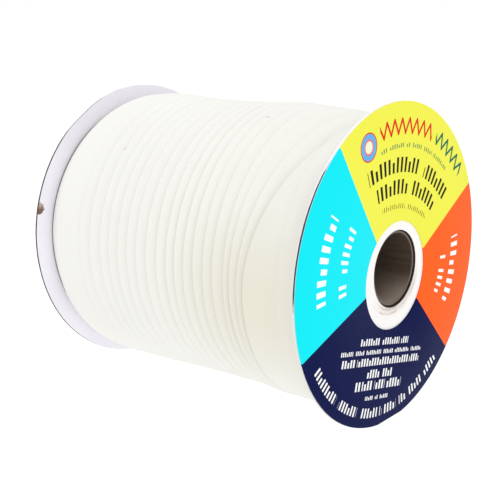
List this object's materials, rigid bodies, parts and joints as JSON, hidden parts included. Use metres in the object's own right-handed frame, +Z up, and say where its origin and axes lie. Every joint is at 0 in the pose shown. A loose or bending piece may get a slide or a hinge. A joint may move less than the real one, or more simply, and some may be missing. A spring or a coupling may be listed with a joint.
{
  "type": "roll of bias tape",
  "caption": "Folded ivory bias tape wound in lapping turns on a card spool with round white-faced discs and a colour-blocked paper label, open through its core.",
  "frame": {"origin": "on the floor under the middle of the spool, which lies on its side", "axes": "+X along the spool towards the disc with the label, +Y across it, away from the side that the picture shows, +Z up"},
  "size_m": [0.1396, 0.127, 0.1262],
  "materials": {
    "kraft_card": "matte",
    "white_card": "satin",
    "printed_paper": "satin",
    "tape": "matte"
  },
  "bodies": {
    "root": {"core_tube": "kraft_card", "flange_far": "white_card", "flange_near": "white_card", "label": "printed_paper", "tape_roll": "tape"}
  },
  "joints": []
}
